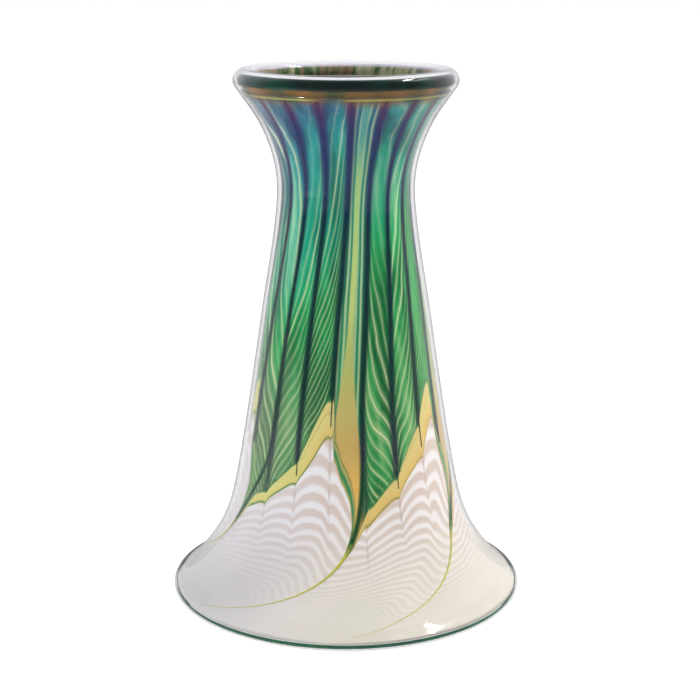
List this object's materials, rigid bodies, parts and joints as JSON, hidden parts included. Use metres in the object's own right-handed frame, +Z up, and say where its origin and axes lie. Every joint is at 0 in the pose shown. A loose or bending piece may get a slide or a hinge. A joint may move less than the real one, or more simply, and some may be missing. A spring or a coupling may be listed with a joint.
{
  "type": "art glass vase",
  "caption": "Hand blown glass vase with a flared foot, slender neck and rolled lip, with green pulled feathers over an opal white skirt.",
  "frame": {"origin": "centre of the circle on which the foot rests, on the surface that the vase stands on", "axes": "+Z up along the vase's axis of revolution; -Y faces the viewer; +X to the viewer's right"},
  "size_m": [0.1546, 0.1546, 0.23],
  "materials": {
    "clear_glass": "clear, fire polished",
    "emerald_core": "transparent emerald, fire polished",
    "dark_emerald": "nearly black emerald, fire polished",
    "opal_white": "opaque opal white with fine combed stripes, glossy under the casing",
    "amber_glass": "opaque ochre to orange amber, glossy under the casing",
    "emerald_overlay": "emerald with pale pulled feathers and an iridescent blue and purple sheen towards the lip",
    "vein_glass": "dark green, glossy under the casing",
    "trail_glass": "yellow-green, glossy under the casing"
  },
  "bodies": {
    "root": {"clear_casing": "clear_glass", "core_gather": "emerald_core", "lip_wrap": "dark_emerald", "foot_ring": "dark_emerald", "pontil_disc": "clear_glass", "opal_skirt": "opal_white", "amber_band": "amber_glass", "green_overlay": "emerald_overlay", "vein_cane_01": "vein_glass", "vein_cane_02": "vein_glass", "vein_cane_03": "vein_glass", "vein_cane_04": "vein_glass", "vein_cane_05": "vein_glass", "vein_cane_06": "vein_glass", "vein_cane_07": "vein_glass", "vein_cane_08": "vein_glass", "vein_cane_09": "vein_glass", "vein_cane_10": "vein_glass", "vein_cane_11": "vein_glass", "vein_cane_12": "vein_glass", "vein_cane_13": "vein_glass", "vein_cane_14": "vein_glass", "vein_cane_15": "vein_glass", "vein_cane_16": "vein_glass", "vein_cane_17": "vein_glass", "vein_cane_18": "vein_glass", "vein_cane_19": "vein_glass", "trail_thread_1": "trail_glass", "trail_thread_2": "trail_glass", "trail_thread_3": "trail_glass", "trail_thread_4": "trail_glass", "trail_thread_5": "trail_glass"}
  },
  "joints": []
}
